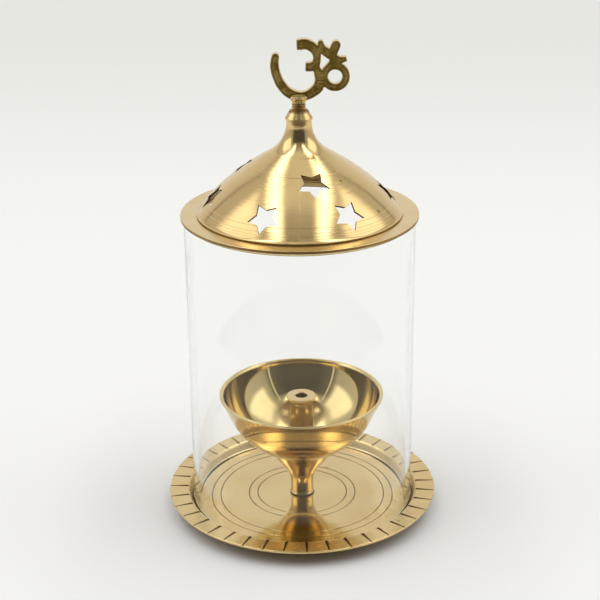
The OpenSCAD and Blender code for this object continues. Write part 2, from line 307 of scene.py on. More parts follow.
def add_node(tree, kind, settings=None, sockets=None, out=0):
    """Any node: its settings first, then the values or links of its sockets."""
    node = tree.nodes.new(kind)
    for key, value in (settings or {}).items():
        setattr(node, key, value)
    for key, value in (sockets or {}).items():
        if isinstance(value, Wire):
            tree.links.new(value.socket, node.inputs[key])
        else:
            node.inputs[key].default_value = value
    return Wire(tree, node.outputs[out]) if node.outputs else None


def new_finish(name):
    """A material with an empty tree, and its object coordinates split into x, y and z."""
    material = bpy.data.materials.new(name)
    material.use_nodes = True
    tree = material.node_tree
    tree.nodes.clear()
    place = add_node(tree, "ShaderNodeTexCoord", out="Object")
    split = add_node(tree, "ShaderNodeSeparateXYZ", None, {0: place})
    axes = [Wire(tree, split.socket.node.outputs[i]) for i in range(3)]
    return material, place, axes


def surface(wire, shader):
    """Plugs a shader into the material's output."""
    wire.node("ShaderNodeOutputMaterial", None, {"Surface": shader})


def mix_colour(factor, first, second):
    """The first colour where the factor is 0, the second where it is 1."""
    first, second = (c if isinstance(c, Wire) else (*c, 1) for c in (first, second))
    return factor.node("ShaderNodeMix", {"data_type": "RGBA"}, {0: factor, 6: first, 7: second}, 2)


# Turning lines to a metre of profile
FINE_LINES, COARSE_LINES = 2600, 520
# Width to either side of a dirty line's middle
GRIME_HALF = 0.24
# Browns of the specks, of the dirty lines and of the band of painted shadow
SPECK_BROWN, GRIME_BROWN, PAINTED_SHADOW_BROWN = (0.09, 0.05, 0.02), (0.19, 0.115, 0.03), (0.16, 0.09, 0.035)
# Height of the cushions between the rim's notches, and how much duller the rim and its wall are
PILLOW_H, RIM_DULL = 0.026, 0.15


def turned_brass(name, colour, deep, rough, line_depth, soil=0.0, rings=(), brushed=0.0, shadow_band=None,
                 pillows=None, dulled=None):
    """Brass from the lathe: fine lines run round the axis, with faint clouds of tarnish.

    Soil is the amount of dark specks, rings are the radii of dirty turned lines, brushed stretches the
    gloss across the lines, the range after it is the height of a band of painted shadow, pillows gives the
    number, the turn and the inner radius of the cushions between the rim's notches, and dulled gives the
    two radii between which the gloss returns, and how much rougher it is inside them."""
    material, place, (x, y, z) = new_finish(name)
    radius = (x * x + y * y).math("SQRT")
    round_axis = x.math("ARCTAN2", y)
    lines = x.node("ShaderNodeCombineXYZ", None,
                   {0: radius * FINE_LINES, 1: z * FINE_LINES, 2: round_axis * 0.6})
    fine = x.node("ShaderNodeTexNoise", None, {"Vector": lines, "Scale": 1.0, "Detail": 2.0})
    coarse_lines = x.node("ShaderNodeCombineXYZ", None,
                          {0: radius * COARSE_LINES, 1: z * COARSE_LINES, 2: round_axis * 0.4})
    coarse = x.node("ShaderNodeTexNoise", None, {"Vector": coarse_lines, "Scale": 1.0, "Detail": 1.0})
    cloud = x.node("ShaderNodeTexNoise", None, {"Vector": place, "Scale": 55.0, "Detail": 4.0})
    wave = x.node("ShaderNodeTexNoise", None, {"Vector": place, "Scale": 140.0, "Detail": 1.0})
    tone = mix_colour(cloud.step(0.42, 0.72), colour, deep)
    if soil:
        specks = x.node("ShaderNodeTexVoronoi", None, {"Vector": place, "Scale": 95.0})
        patches = x.node("ShaderNodeTexNoise", None, {"Vector": place, "Scale": 38.0})
        spot = (1 - specks.step(0.05, 0.11)) * patches.step(0.56, 0.6) * soil
        tone = mix_colour(spot, tone, SPECK_BROWN)
    grime = None
    for ring in rings:
        line = radius.between((ring - GRIME_HALF) * MM, (ring + GRIME_HALF) * MM, 0.1 * MM)
        grime = line if grime is None else grime + line
    if rings:
        tone = mix_colour(grime, tone, GRIME_BROWN)
    # A dark band over a height range: painted shadow
    if shadow_band:
        painted_shadow = z.between(shadow_band[0] * MM, shadow_band[1] * MM, 0.5 * MM)
        tone = mix_colour(painted_shadow * 0.85, tone, PAINTED_SHADOW_BROWN)
    height = (fine * 0.5 + coarse * 0.5 + wave * 0.6) * line_depth
    gloss = rough + (fine - 0.5) * 0.06 + cloud.step(0.45, 0.8) * 0.07
    if pillows:
        count, turn, inner = pillows
        ripple = ((round_axis - math.radians(180 - turn)) * count).math("COSINE")
        rim = radius.step(inner * MM, (inner + 0.6) * MM)
        height = height - ripple * rim * PILLOW_H
        gloss = gloss + radius.step((inner - 3) * MM, (inner - 2.4) * MM) * RIM_DULL
    if dulled:
        gloss = gloss + (1 - radius.step(dulled[0] * MM, dulled[1] * MM)) * dulled[2]
    bump = x.node("ShaderNodeBump", None, {"Strength": 1.0, "Distance": MM, "Height": height})
    shader = x.node("ShaderNodeBsdfPrincipled", None, {
        "Base Color": tone, "Metallic": 1.0, "Normal": bump,
        "Anisotropic": brushed, "Anisotropic Rotation": 0.25,
        "Roughness": gloss})
    surface(x, shader)
    return material


CAST_OLIVE, CAST_GOLD = (0.30, 0.195, 0.04), (0.60, 0.43, 0.13)
CARVED_BROWN, RUBBED_BRASS = (0.09, 0.055, 0.015), (0.78, 0.62, 0.33)


def cast_brass(name):
    """Old cast brass: olive, dark where it is carved, rubbed bright at the edges and filed on the boss."""
    material, place, (x, y, z) = new_finish(name)
    grain = x.node("ShaderNodeTexNoise", None, {"Vector": place, "Scale": 1500.0, "Detail": 3.0})
    cloud = x.node("ShaderNodeTexNoise", None, {"Vector": place, "Scale": 260.0, "Detail": 3.0})
    edge = x.node("ShaderNodeNewGeometry", out="Pointiness")
    sunk = x.node("ShaderNodeAttribute", {"attribute_name": "carved"}, out="Fac")
    sides = 1 - y.math("ABSOLUTE").step((OM_THICK / 2 - 0.45) * MM, (OM_THICK / 2 - 0.13) * MM)
    worn = edge.step(0.52, 0.58).math("MAXIMUM", sides) * (1 - sunk)
    filed = ((1 - z.step((OM_Z + 3.05) * MM, (OM_Z + 3.85) * MM))
             * (1 - y.step(-(OM_THICK / 2 + 0.2) * MM, -OM_THICK / 2 * MM)))
    tone = mix_colour((grain * 0.4 + cloud * 0.6).step(0.40, 0.60), CAST_OLIVE, CAST_GOLD)
    tone = mix_colour(sunk * 0.85, tone, CARVED_BROWN)
    tone = mix_colour(worn.math("MAXIMUM", filed), tone, RUBBED_BRASS)
    bump = x.node("ShaderNodeBump", None,
                  {"Strength": 0.5, "Distance": 0.05 * MM, "Height": grain * 0.6 + cloud})
    shader = x.node("ShaderNodeBsdfPrincipled", None, {
        "Base Color": tone, "Metallic": 1.0, "Normal": bump,
        "Roughness": 0.42 - worn * 0.14 - filed * 0.16 + (grain - 0.5) * 0.2})
    surface(x, shader)
    return material


def clear_glass(name):
    """Slightly wavy glass that lets lamp light and soft light straight through."""
    material, place, (x, y, z) = new_finish(name)
    wave = x.node("ShaderNodeTexNoise", None, {"Vector": place, "Scale": 26.0, "Detail": 1.0})
    bump = x.node("ShaderNodeBump", None, {"Strength": 0.25, "Distance": 0.2 * MM, "Height": wave})
    body = x.node("ShaderNodeBsdfPrincipled", None, {
        "Base Color": (0.985, 0.992, 0.99, 1), "Roughness": 0.0, "IOR": 1.47,
        "Specular Tint": (0.45, 0.45, 0.45, 1), "Transmission Weight": 1.0, "Normal": bump})
    clear = x.node("ShaderNodeBsdfTransparent")
    light = x.node("ShaderNodeLightPath", out="Is Shadow Ray")
    bounce = Wire(x.tree, light.socket.node.outputs["Is Diffuse Ray"])
    mixed = x.node("ShaderNodeMixShader", None, {0: light.math("MAXIMUM", bounce), 1: body, 2: clear})
    surface(x, mixed)
    return material


DOME_BRASS = turned_brass("dome_brass", (0.74, 0.54, 0.25), (0.68, 0.48, 0.21), 0.11, 0.05, soil=0.5,
                          brushed=0.6)
# The collar's top gets a band of painted shadow where the stud shades it
COLLAR_BRASS = turned_brass("collar_brass", (0.74, 0.55, 0.26), (0.66, 0.47, 0.20), 0.2, 0.01,
                            shadow_band=(COLLAR_TOP_Z - 0.8, COLLAR_TOP_Z + 0.6))
BOWL_BRASS = turned_brass("bowl_brass", (0.74, 0.575, 0.27), (0.68, 0.51, 0.22), 0.06, 0.004, soil=0.4,
                          dulled=(19, 31, 0.13))
PLATE_BRASS = turned_brass("plate_brass", (0.74, 0.565, 0.28), (0.69, 0.51, 0.24), 0.09, 0.007, soil=0.3,
                           rings=FLOOR_LINES, pillows=(NOTCH_COUNT, NOTCH_TURN, RIM_IN_R + 1))
FLANGE_BRASS = turned_brass("flange_brass", (0.76, 0.585, 0.30), (0.71, 0.53, 0.26), 0.24, 0.010, soil=0.5)
SATIN = turned_brass("satin_brass", (0.62, 0.45, 0.21), (0.50, 0.35, 0.15), 0.30, 0.03)
THREAD_BRASS = turned_brass("thread_brass", (0.44, 0.30, 0.12), (0.32, 0.21, 0.08), 0.30, 0.02)
NOTCH_BRASS = turned_brass("notch_brass", (0.20, 0.125, 0.05), (0.11, 0.065, 0.025), 0.42, 0.02)
# Dark brass for the stars' cut walls and the stem's lowest band: painted shade
PAINTED_EDGE_SHADE_BRASS = turned_brass("painted_edge_shade_brass", (0.20, 0.13, 0.05), (0.11, 0.07, 0.025), 0.5, 0.02)
# Duller, darker brass for faces inside the lid: painted shade
PAINTED_INSIDE_SHADE_BRASS = turned_brass("painted_inside_shade_brass", (0.50, 0.36, 0.16), (0.40, 0.28, 0.12), 0.45, 0.02)
# Darker brass for faces that look down and for the flange's outer edge: painted shade
PAINTED_SHADE_BRASS = turned_brass("painted_shade_brass", (0.34, 0.22, 0.08), (0.24, 0.15, 0.05), 0.45, 0.03)
STEM_BRASS = turned_brass("stem_brass", (0.74, 0.575, 0.27), (0.66, 0.49, 0.21), 0.15, 0.006)
WICK_BRASS = turned_brass("wick_brass", (0.80, 0.62, 0.32), (0.70, 0.52, 0.25), 0.30, 0.015)
CAST = cast_brass("cast_brass")
GLASS = clear_glass("clear_glass")


# Base plate: a spun tray with a flat rim that is notched by chisel

# Undersides of the floor and the rim
PLATE_LOW_Z, RIM_LOW_Z = 2.7, 6.5
FOOT_IN_R, FOOT_OUT_R = 40.8, 43.2
# Outside of the wall between floor and rim, below and above
WALL_LOW_R, WALL_HIGH_R = 51.7, 53.4
FLOOR_LINE_W, FLOOR_LINE_DEPTH = 0.55, 0.14
# Half width and depth at the notch's inner and outer end
NOTCH_IN = (0.74, 0.76)
NOTCH_OUT = (0.30, 0.36)
# Degrees that a notch is off its place and leans, at most, and its shift along the radius
NOTCH_WOBBLE, NOTCH_LEAN, NOTCH_SHIFT = 0.5, 2.0, 0.2


def base_plate():
    floor_lines = [p for r in FLOOR_LINES
                   for p in turned_line(r, FLOOR_Z, FLOOR_LINE_W, FLOOR_LINE_DEPTH)]
    profile = softened([
        (SCREW_HOLE_R, PLATE_LOW_Z), (FOOT_IN_R, PLATE_LOW_Z), (FOOT_IN_R, 0, 0.25), (FOOT_OUT_R, 0, 0.25),
        (FOOT_OUT_R, PLATE_LOW_Z), (WALL_LOW_R, PLATE_LOW_Z, 0.9), (WALL_HIGH_R, RIM_LOW_Z, 0.7),
        (RIM_R, RIM_LOW_Z, 0.5), (RIM_R, RIM_Z, 0.35), (RIM_IN_R, RIM_Z, 1.6), (WELL_R, FLOOR_Z, 0.6)]
        + floor_lines + [(SCREW_HOLE_R, FLOOR_Z)])
    piece = lathe("notched_plate", profile, PLATE_BRASS, 240)
    # Faces that look down get the darker brass: painted shade under the plate and its rim
    give_faces(piece, PAINTED_SHADE_BRASS, lambda centre, normal: normal.z < -0.3)
    cutters = []
    for i in range(NOTCH_COUNT):
        deselect()
        bpy.ops.mesh.primitive_cylinder_add(vertices=3, radius=MM, depth=(RIM_R - RIM_IN_R - 0.5) * MM)
        wedge = bpy.context.object
        # Hand work: no notch is quite in its place
        wobble, lean = math.sin(i * 12.9898), math.sin(i * 4.1414)
        # The prism lies along the radius with one edge down, deeper at its inner end
        wedge.data.transform(Matrix.Rotation(math.pi / 2, 4, "Y") @ Matrix.Rotation(math.pi / 2, 4, "Z"))
        for vert in wedge.data.vertices:
            half, deep = NOTCH_IN if vert.co.x < 0 else NOTCH_OUT
            if abs(vert.co.y) < 0.1 * MM:
                vert.co.z = -deep * MM
            else:
                vert.co.z = deep * MM
                vert.co.y = math.copysign(2 * half * MM, vert.co.y)
        turn = math.radians(NOTCH_TURN + i * 360 / NOTCH_COUNT + wobble * NOTCH_WOBBLE - 90)
        reach = (RIM_R + RIM_IN_R) / 2 + 0.15 + lean * NOTCH_SHIFT
        wedge.location = (reach * MM * math.cos(turn), reach * MM * math.sin(turn), RIM_Z * MM)
        wedge.rotation_euler = (0, 0, turn + math.radians(lean * NOTCH_LEAN))
        settle(wedge)
        cutters.append(wedge)
    cutter = join(cutters)
    close_up(cutter)
    cut(piece, cutter, NOTCH_BRASS)
    finish_piece(piece, "base", "base_plate", 30)


def pedestal_stem():
    waist_r, bend_z, lean = 5.1, 8.4, 37
    rise, out, turn = BOWL_SEAT_Z - bend_z, FLARE_R - waist_r, math.radians(lean)
    bend = (rise * math.sin(turn) - out * math.cos(turn)) / (1 - math.cos(turn))
    flare = arc((waist_r + bend, bend_z), bend, 180, 180 - lean, 24)
    profile = (softened([(SCREW_HOLE_R, FLOOR_Z), (5.6, FLOOR_Z, 0.12), (5.6, FLOOR_Z + 0.8, 0.3),
                         (waist_r, FLOOR_Z + 1.6, 0.5), flare[0]])
               + flare[1:] + [(FLARE_R, BOWL_SEAT_Z), (SCREW_HOLE_R, BOWL_SEAT_Z)])
    piece = lathe("turned_stem", profile, STEM_BRASS)
    # The foot's lowest band, where the stem meets the plate, gets the dark brass: painted shade
    give_faces(piece, PAINTED_EDGE_SHADE_BRASS, lambda centre, normal: centre.z < (FLOOR_Z + 0.45) * MM)
    finish_piece(piece, "base", "pedestal_stem")


# Bowl and wick tube

SOCKET_R = 7.5
SPIGOT_R = 4.0
WICK_BORE_R, TUBE_R, TUBE_HEAD_R = 2.7, 5.2, 6.6
# Top of the blind screw hole
SCREW_END_Z = 26.1
# Length, width and height of the cutter for both feed slots, and the height of its middle
FEED_SLOT, FEED_SLOT_Z = (20.8, 2.4, 6), 34.4


def oil_bowl():
    rim_r, band_z, belly_edge, skirt_r = 37.25, 43.0, 31.8, 15.0
    dish_edge, dish_z = 35.3, 25.5
    belly_low = BOWL_SEAT_Z + 1.0
    belly_h = band_z - belly_low
    ball = (belly_edge ** 2 + belly_h ** 2) / (2 * belly_h)
    centre = (0, belly_low + ball)
    depth = BOWL_RIM_Z - dish_z
    dish = (dish_edge ** 2 + depth ** 2) / (2 * depth)
    dish_centre = (0, dish_z + dish)

    def angle(r, ball_r):
        return -90 + math.degrees(math.asin(r / ball_r))

    outside = arc(centre, ball, angle(skirt_r + 1.6, ball), angle(belly_edge, ball), 36)
    inside = arc(dish_centre, dish, angle(dish_edge - 0.3, dish), angle(8.1, dish), 56)
    skirt_z = centre[1] - math.sqrt(ball ** 2 - skirt_r ** 2)
    seat = softened([(0, SCREW_END_Z), (SCREW_HOLE_R, SCREW_END_Z), (SCREW_HOLE_R, BOWL_SEAT_Z),
                     (FLARE_R, BOWL_SEAT_Z), (skirt_r, skirt_z, 3.0), outside[0]])[:-1]
    rim = softened([outside[-1], (rim_r, BOWL_RIM_Z, 0.4), (dish_edge, BOWL_RIM_Z, 1.3), inside[0]])[1:-1]
    socket = SPIGOT_R + RUNNING
    boss = softened([inside[-1], (SOCKET_R, SOCKET_Z + 0.1, 0.6), (SOCKET_R, SOCKET_TOP_Z, 0.4),
                     (socket, SOCKET_TOP_Z, 0.2), (socket, SOCKET_Z), (0, SOCKET_Z)])[1:]
    piece = lathe("turned_bowl", seat + outside + rim + inside + boss, BOWL_BRASS, 224)
    finish_piece(piece, "base", "oil_bowl")


def wick_tube():
    profile = softened([
        (WICK_BORE_R, SOCKET_Z + RUNNING), (SPIGOT_R, SOCKET_Z + RUNNING, 0.2), (SPIGOT_R, SOCKET_TOP_Z),
        (TUBE_R, SOCKET_TOP_Z, 0.2), (TUBE_R, TUBE_TOP_Z - 2.6, 0.6),
        (TUBE_HEAD_R, TUBE_TOP_Z - 1.1, 0.25), (TUBE_HEAD_R, TUBE_TOP_Z, 0.3),
        (WICK_BORE_R, TUBE_TOP_Z, 0.35)])
    piece = lathe("wick_holder", profile, WICK_BRASS, 96)
    deselect()
    bpy.ops.mesh.primitive_cube_add(size=MM, location=(0, 0, FEED_SLOT_Z * MM))
    slot = bpy.context.object
    slot.scale = FEED_SLOT
    settle(slot)
    apply_modifier(slot, "BEVEL", width=1.1 * MM, segments=4)
    cut(piece, slot)
    finish_piece(piece, "wick", "wick_tube")


def chimney_glass():
    inner, edge = GLASS_R - GLASS_WALL, 0.7
    profile = softened([(inner, FLOOR_Z, edge), (GLASS_R, FLOOR_Z, edge),
                        (GLASS_R, GLASS_TOP_Z, edge), (inner, GLASS_TOP_Z, edge)], 6)
    piece = lathe("chimney_tube", profile, GLASS, 256)
    finish_piece(piece, "chimney", "chimney_glass")


# Lid

FLANGE_R = 51.3
LIP_OUT = GLASS_R - GLASS_WALL - 0.5
LIP_WALL, LIP_DEPTH = 1.2, 2.0
DOME_FOOT_R = 44.5
FLANK_SLOPE = 32.4
THROAT_R = 14.6
FLANK_LEN = 9.5
THROAT_Z = NECK_TOP_Z - 1.0
DOME_WALL = 1.0
THROAT_STEPS, BOW_STEPS = 26, 40
DOME_LINE_W, DOME_LINE_DEPTH = 0.3, 0.06
STAR_R, STAR_IN_R = 7.2, 3.9
# Height of each row of stars above the flange, the turn of its first star, and the degrees between the
# two lower stars at the front
LOW_STARS_Z, LOW_STARS_TURN, FRONT_GAP = 8.4, -23.3, 56.0
HIGH_STARS_Z, HIGH_STARS_TURN = 19.3, 13.4
# Collar and stud
COLLAR_R, COLLAR_EDGE, COLLAR_TOP_R = 5.85, 0.8, 3.9
BUSH_LOW_Z = NECK_TOP_Z - 9
PIN_R, PIN_TOP_Z = 1.5, OM_Z + 2.2


def lid_flange():
    hole = DOME_FOOT_R - DOME_WALL - 1.2
    lip_in, lip_z = LIP_OUT - LIP_WALL, GLASS_TOP_Z - LIP_DEPTH
    profile = softened([
        (hole, GLASS_TOP_Z), (lip_in, GLASS_TOP_Z), (lip_in, lip_z, 0.3), (LIP_OUT, lip_z, 0.3),
        (LIP_OUT, GLASS_TOP_Z), (FLANGE_R, GLASS_TOP_Z, 0.12), (FLANGE_R, FLANGE_TOP_Z, 0.2),
        (hole, FLANGE_TOP_Z)])
    piece = lathe("lid_ring", profile, FLANGE_BRASS, 240)
    # Faces that look in towards the axis get the darker inside brass: painted shade
    give_faces(piece, PAINTED_INSIDE_SHADE_BRASS, lambda centre, normal: normal.xy.dot(centre.xy) < 0)
    # Faces that look down and the outer edge get the darker brass: painted shade
    give_faces(piece, PAINTED_SHADE_BRASS,
               lambda centre, normal: normal.z < -0.15
               or (centre.xy.length > (FLANGE_R - 0.3) * MM and normal.z < 0.4))
    finish_piece(piece, "lid", "lid_flange")


def dome_shape():
    """Centre and radius of the dome's big arc, which the straight flank below the throat runs into."""
    slope = math.radians(FLANK_SLOPE)
    down = Vector((math.cos(slope), -math.sin(slope)))
    inward = Vector((-math.sin(slope), -math.cos(slope)))
    throat_end = Vector((NECK_R + THROAT_R * (1 - math.sin(slope)),
                         THROAT_Z - THROAT_R * math.cos(slope)))
    flank_end = throat_end + FLANK_LEN * down
    reach = Vector((DOME_FOOT_R, FLANGE_TOP_Z)) - flank_end
    radius = reach.dot(reach) / (2 * reach.dot(inward))
    return flank_end + radius * inward, radius


def dome_curve(offset, lines=()):
    """The dome's curve from neck to foot, moved inwards by an offset, with fine turned lines."""
    centre, radius = dome_shape()
    throat = arc((NECK_R + THROAT_R, THROAT_Z), THROAT_R + offset, 180, 270 - FLANK_SLOPE, THROAT_STEPS)
    foot = math.degrees(math.atan2(FLANGE_TOP_Z - centre[1], DOME_FOOT_R - centre[0]))
    start = 90 - FLANK_SLOPE
    turns = [(start + (foot - start) * i / BOW_STEPS, 0) for i in range(BOW_STEPS + 1)]
    for r, width, depth in lines:
        middle = math.degrees(math.acos((r - centre[0]) / radius))
        half = math.degrees(width / 2 / radius)
        turns = [t for t in turns if abs(t[0] - middle) > 2 * half]
        turns += [(middle + half, 0), (middle + half / 3, depth),
                  (middle - half / 3, depth), (middle - half, 0)]
    turns.sort(reverse=True)
    bow = [(centre[0] + (radius - offset - deep) * math.cos(math.radians(t)),
            centre[1] + (radius - offset - deep) * math.sin(math.radians(t))) for t, deep in turns]
    return throat + bow


def star_cutter(turn, height):
    """A five-pointed star, one point down the slope, set square to the dome."""
    centre, radius = dome_shape()
    z = FLANGE_TOP_Z + height
    r = centre[0] + math.sqrt(radius ** 2 - (z - centre[1]) ** 2)
    lean = math.atan2(r - centre[0], z - centre[1])
    deselect()
    bpy.ops.mesh.primitive_cylinder_add(vertices=10, radius=STAR_R * MM, depth=5 * DOME_WALL * MM,
                                        rotation=(0, 0, math.radians(18)))
    star = bpy.context.object
    settle(star)
    bpy.ops.object.mode_set(mode="EDIT")
    bpy.ops.mesh.select_all(action="DESELECT")
    mesh = bmesh.from_edit_mesh(star.data)
    for vert in mesh.verts:
        spoke = round(math.degrees(math.atan2(vert.co.y, vert.co.x)) / 36)
        vert.select = (spoke % 2) != 0
    mesh.select_flush(True)
    bmesh.update_edit_mesh(star.data)
    bpy.ops.transform.resize(value=(STAR_IN_R / STAR_R, STAR_IN_R / STAR_R, 1), center_override=(0, 0, 0))
    bpy.ops.object.mode_set(mode="OBJECT")
    star.data.transform(Matrix.Rotation(math.radians(turn - 90), 4, "Z")
                        @ Matrix.Translation((r * MM, 0, z * MM))
                        @ Matrix.Rotation(lean, 4, "Y"))
    return star


def lid_dome():
    lines = [(r, DOME_LINE_W, DOME_LINE_DEPTH) for r in DOME_LINES]
    outer = [p for p in dome_curve(0, lines) if p[1] > FLANGE_TOP_Z + 1.1]
    inner = [p for p in dome_curve(DOME_WALL) if p[1] > FLANGE_TOP_Z + 0.2]
    lip = softened([outer[-1], (DOME_FOOT_R - 0.55, FLANGE_TOP_Z + 0.95, 0.12),
                    (DOME_FOOT_R, FLANGE_TOP_Z + 0.75, 0.2),
                    (DOME_FOOT_R - 0.05, FLANGE_TOP_Z + 0.2, 0.15), (DOME_FOOT_R - 0.45, FLANGE_TOP_Z),
                    (inner[-1][0] + 0.1, FLANGE_TOP_Z)])[1:]
    top = [(NECK_R - DOME_WALL, NECK_TOP_Z), (NECK_R - 0.15, NECK_TOP_Z), (NECK_R, NECK_TOP_Z - 0.15)]
    piece = lathe("pierced_dome", top + outer + lip + inner[::-1], DOME_BRASS, 256)
    # The dome's inside, facing down, gets the darker inside brass: painted shade
    give_faces(piece, PAINTED_INSIDE_SHADE_BRASS, lambda centre, normal: normal.z < -0.05)
    low_turns = [LOW_STARS_TURN]
    low_turns += [LOW_STARS_TURN + FRONT_GAP + i * (360 - FRONT_GAP) / 5 for i in range(5)]
    stars = [star_cutter(turn, LOW_STARS_Z) for turn in low_turns]
    stars += [star_cutter(HIGH_STARS_TURN + 120 * i, HIGH_STARS_Z) for i in range(3)]
    cutter = join(stars)
    close_up(cutter)
    # The stars' cut walls get the dark brass: painted shade
    cut(piece, cutter, PAINTED_EDGE_SHADE_BRASS)
    finish_piece(piece, "lid", "lid_dome", 28)


def neck_collar():
    bore = STUD_R + RUNNING
    bush = NECK_R - DOME_WALL - RUNNING
    profile = softened([
        (bore, BUSH_LOW_Z), (bush, BUSH_LOW_Z), (bush, NECK_TOP_Z), (COLLAR_R, NECK_TOP_Z, 0.15),
        (COLLAR_R, NECK_TOP_Z + COLLAR_EDGE, 0.35), (COLLAR_TOP_R, COLLAR_TOP_Z, 0.2),
        (bore, COLLAR_TOP_Z - 0.15)])
    piece = lathe("turned_collar", profile, COLLAR_BRASS, 128)
    finish_piece(piece, "lid", "neck_collar")


def finial_stud():
    crest, root, pitch = STUD_R, STUD_R - 0.55, 1.1
    thread = []
    for i in range(2):
        z = COLLAR_TOP_Z + 0.2 + i * pitch
        thread += [(crest, z + 0.1), (root, z + 0.42), (root, z + 0.58), (crest, z + 0.9)]
    profile = ([(0, BUSH_LOW_Z), (crest, BUSH_LOW_Z)] + thread
               + [(crest, OM_Z), (PIN_R, OM_Z), (PIN_R, PIN_TOP_Z), (0, PIN_TOP_Z)])
    piece = lathe("threaded_stud", profile, THREAD_BRASS, 96)
    finish_piece(piece, "stud", "finial_stud")


# Om: drawn as strokes with (x, height, half width), cast in one piece with a boss below

OM_HOLE_R, OM_HOLE_DEPTH = 1.7, 2.3
# Cube size of the remesh that fuses the strokes
OM_VOXEL = 0.17
OM_BOSS_R, OM_BOSS_FOOT_R, OM_BOSS_H, OM_BOSS_FLAT = 4.3, 2.9, 3.6, 0.8
OM_SWEEP = [(-9.5, 20, 1.5), (-9.9, 17.5, 1.65), (-9.8, 15.2, 1.75), (-9.2, 12.6, 1.75), (-7.5, 8.7, 1.85),
            (-4.4, 5.1, 1.9), (0, 3.3, 1.9), (3.2, 3.7, 1.8), (5.5, 4.8, 1.9), (8.1, 7.1, 2.15),
            (8.9, 10.2, 2), (8.4, 12.7, 1.85), (7.7, 14.7, 1.5), (7.4, 16.4, 1.1)]
OM_UPPER = [(-0.7, 25, 2), (0.9, 25.1, 2.1), (2.6, 25.3, 2.1), (4.5, 24.8, 2), (6.4, 23.4, 1.9),
            (7.5, 21.4, 1.7), (7.7, 19, 1.5), (7, 16.8, 1.8), (5.2, 15.8, 1.8), (2.9, 15.8, 1.7)]
OM_CROSSING = [(9.2, 25.7, 1.1), (9.9, 23.3, 1.6), (11.4, 22, 1.8), (13.4, 20.6, 1.8), (15.5, 19, 1.6),
               (17.6, 18.6, 1.3), (20, 19.1, 0.9)]
OM_LIMB = [(15.6, 24.8, 1.8), (14.6, 22.4, 1.8), (14.1, 20.1, 1.5), (14, 17.9, 1.1), (11.1, 14.2, 1.2)]
OM_LOOP, OM_LOOP_IN, OM_LOOP_OUT = (15.2, 11.6), 3.0, 6.1
# What the smoothing takes off a stroke's edge
OM_SPARE = 0.1
# Carved line: its distance from the edge, half width and depth
OM_EDGE_LINE, OM_LINE_W, OM_LINE_DEPTH = 0.75, 0.26, 0.3
# Spacing of the marks across the sweep, and the points of the sweep between which they lie
OM_HATCH, HATCH_FIRST, HATCH_LAST = 1.25, 7, 11
# Their reach from the sweep's middle, and their share of the carved line's depth
HATCH_REACH, HATCH_SHARE = 2.2, 0.9
PATH_STEPS = 6


def smooth_path(points):
    """A smooth curve through all the points."""
    points = [Vector(p) for p in points]
    path = []
    for i in range(len(points) - 1):
        p, q, r, t = (points[min(max(k, 0), len(points) - 1)] for k in (i - 1, i, i + 1, i + 2))
        for k in range(PATH_STEPS):
            u = k / PATH_STEPS
            path.append(0.5 * (2 * q + (r - p) * u + (2 * p - 5 * q + 4 * r - t) * u * u
                               + (3 * q - p - 3 * r + t) * u ** 3))
    return path + [points[-1]]


def stroke_outline(points, round_start):
    """Both sides of a stroke as one loop."""
    path = smooth_path(points)
    left, right = [], []
    for i, here in enumerate(path):
        run = path[min(i + 1, len(path) - 1)] - path[max(i - 1, 0)]
        side = Vector((-run[1], run[0])).normalized() * (here[2] + OM_SPARE)
        left.append(Vector(here[:2]) + side)
        right.append(Vector(here[:2]) - side)
    start = []
    if round_start:
        centre, arm = Vector(path[0][:2]), left[0] - Vector(path[0][:2])
        start = [centre + Matrix.Rotation(math.pi * (1 - k / 8), 2) @ arm for k in range(1, 8)]
    return start + left + right[::-1]


def om_stroke(points, round_start):
    """One flat stroke, drawn as an outline and pulled to its thickness."""
    front = -OM_THICK / 2
    outline = [Vector((x, front, OM_Z + h)) * MM for x, h in stroke_outline(points, round_start)]
    piece = start_point("om_stroke", outline[0])
    for before, after in zip(outline, outline[1:]):
        bpy.ops.mesh.extrude_region_move(TRANSFORM_OT_translate={"value": after - before})
    bpy.ops.mesh.select_all(action="SELECT")
    bpy.ops.mesh.edge_face_add()
    bpy.ops.mesh.extrude_region_move(TRANSFORM_OT_translate={"value": (0, OM_THICK * MM, 0)})
    close_up(piece)
    return piece


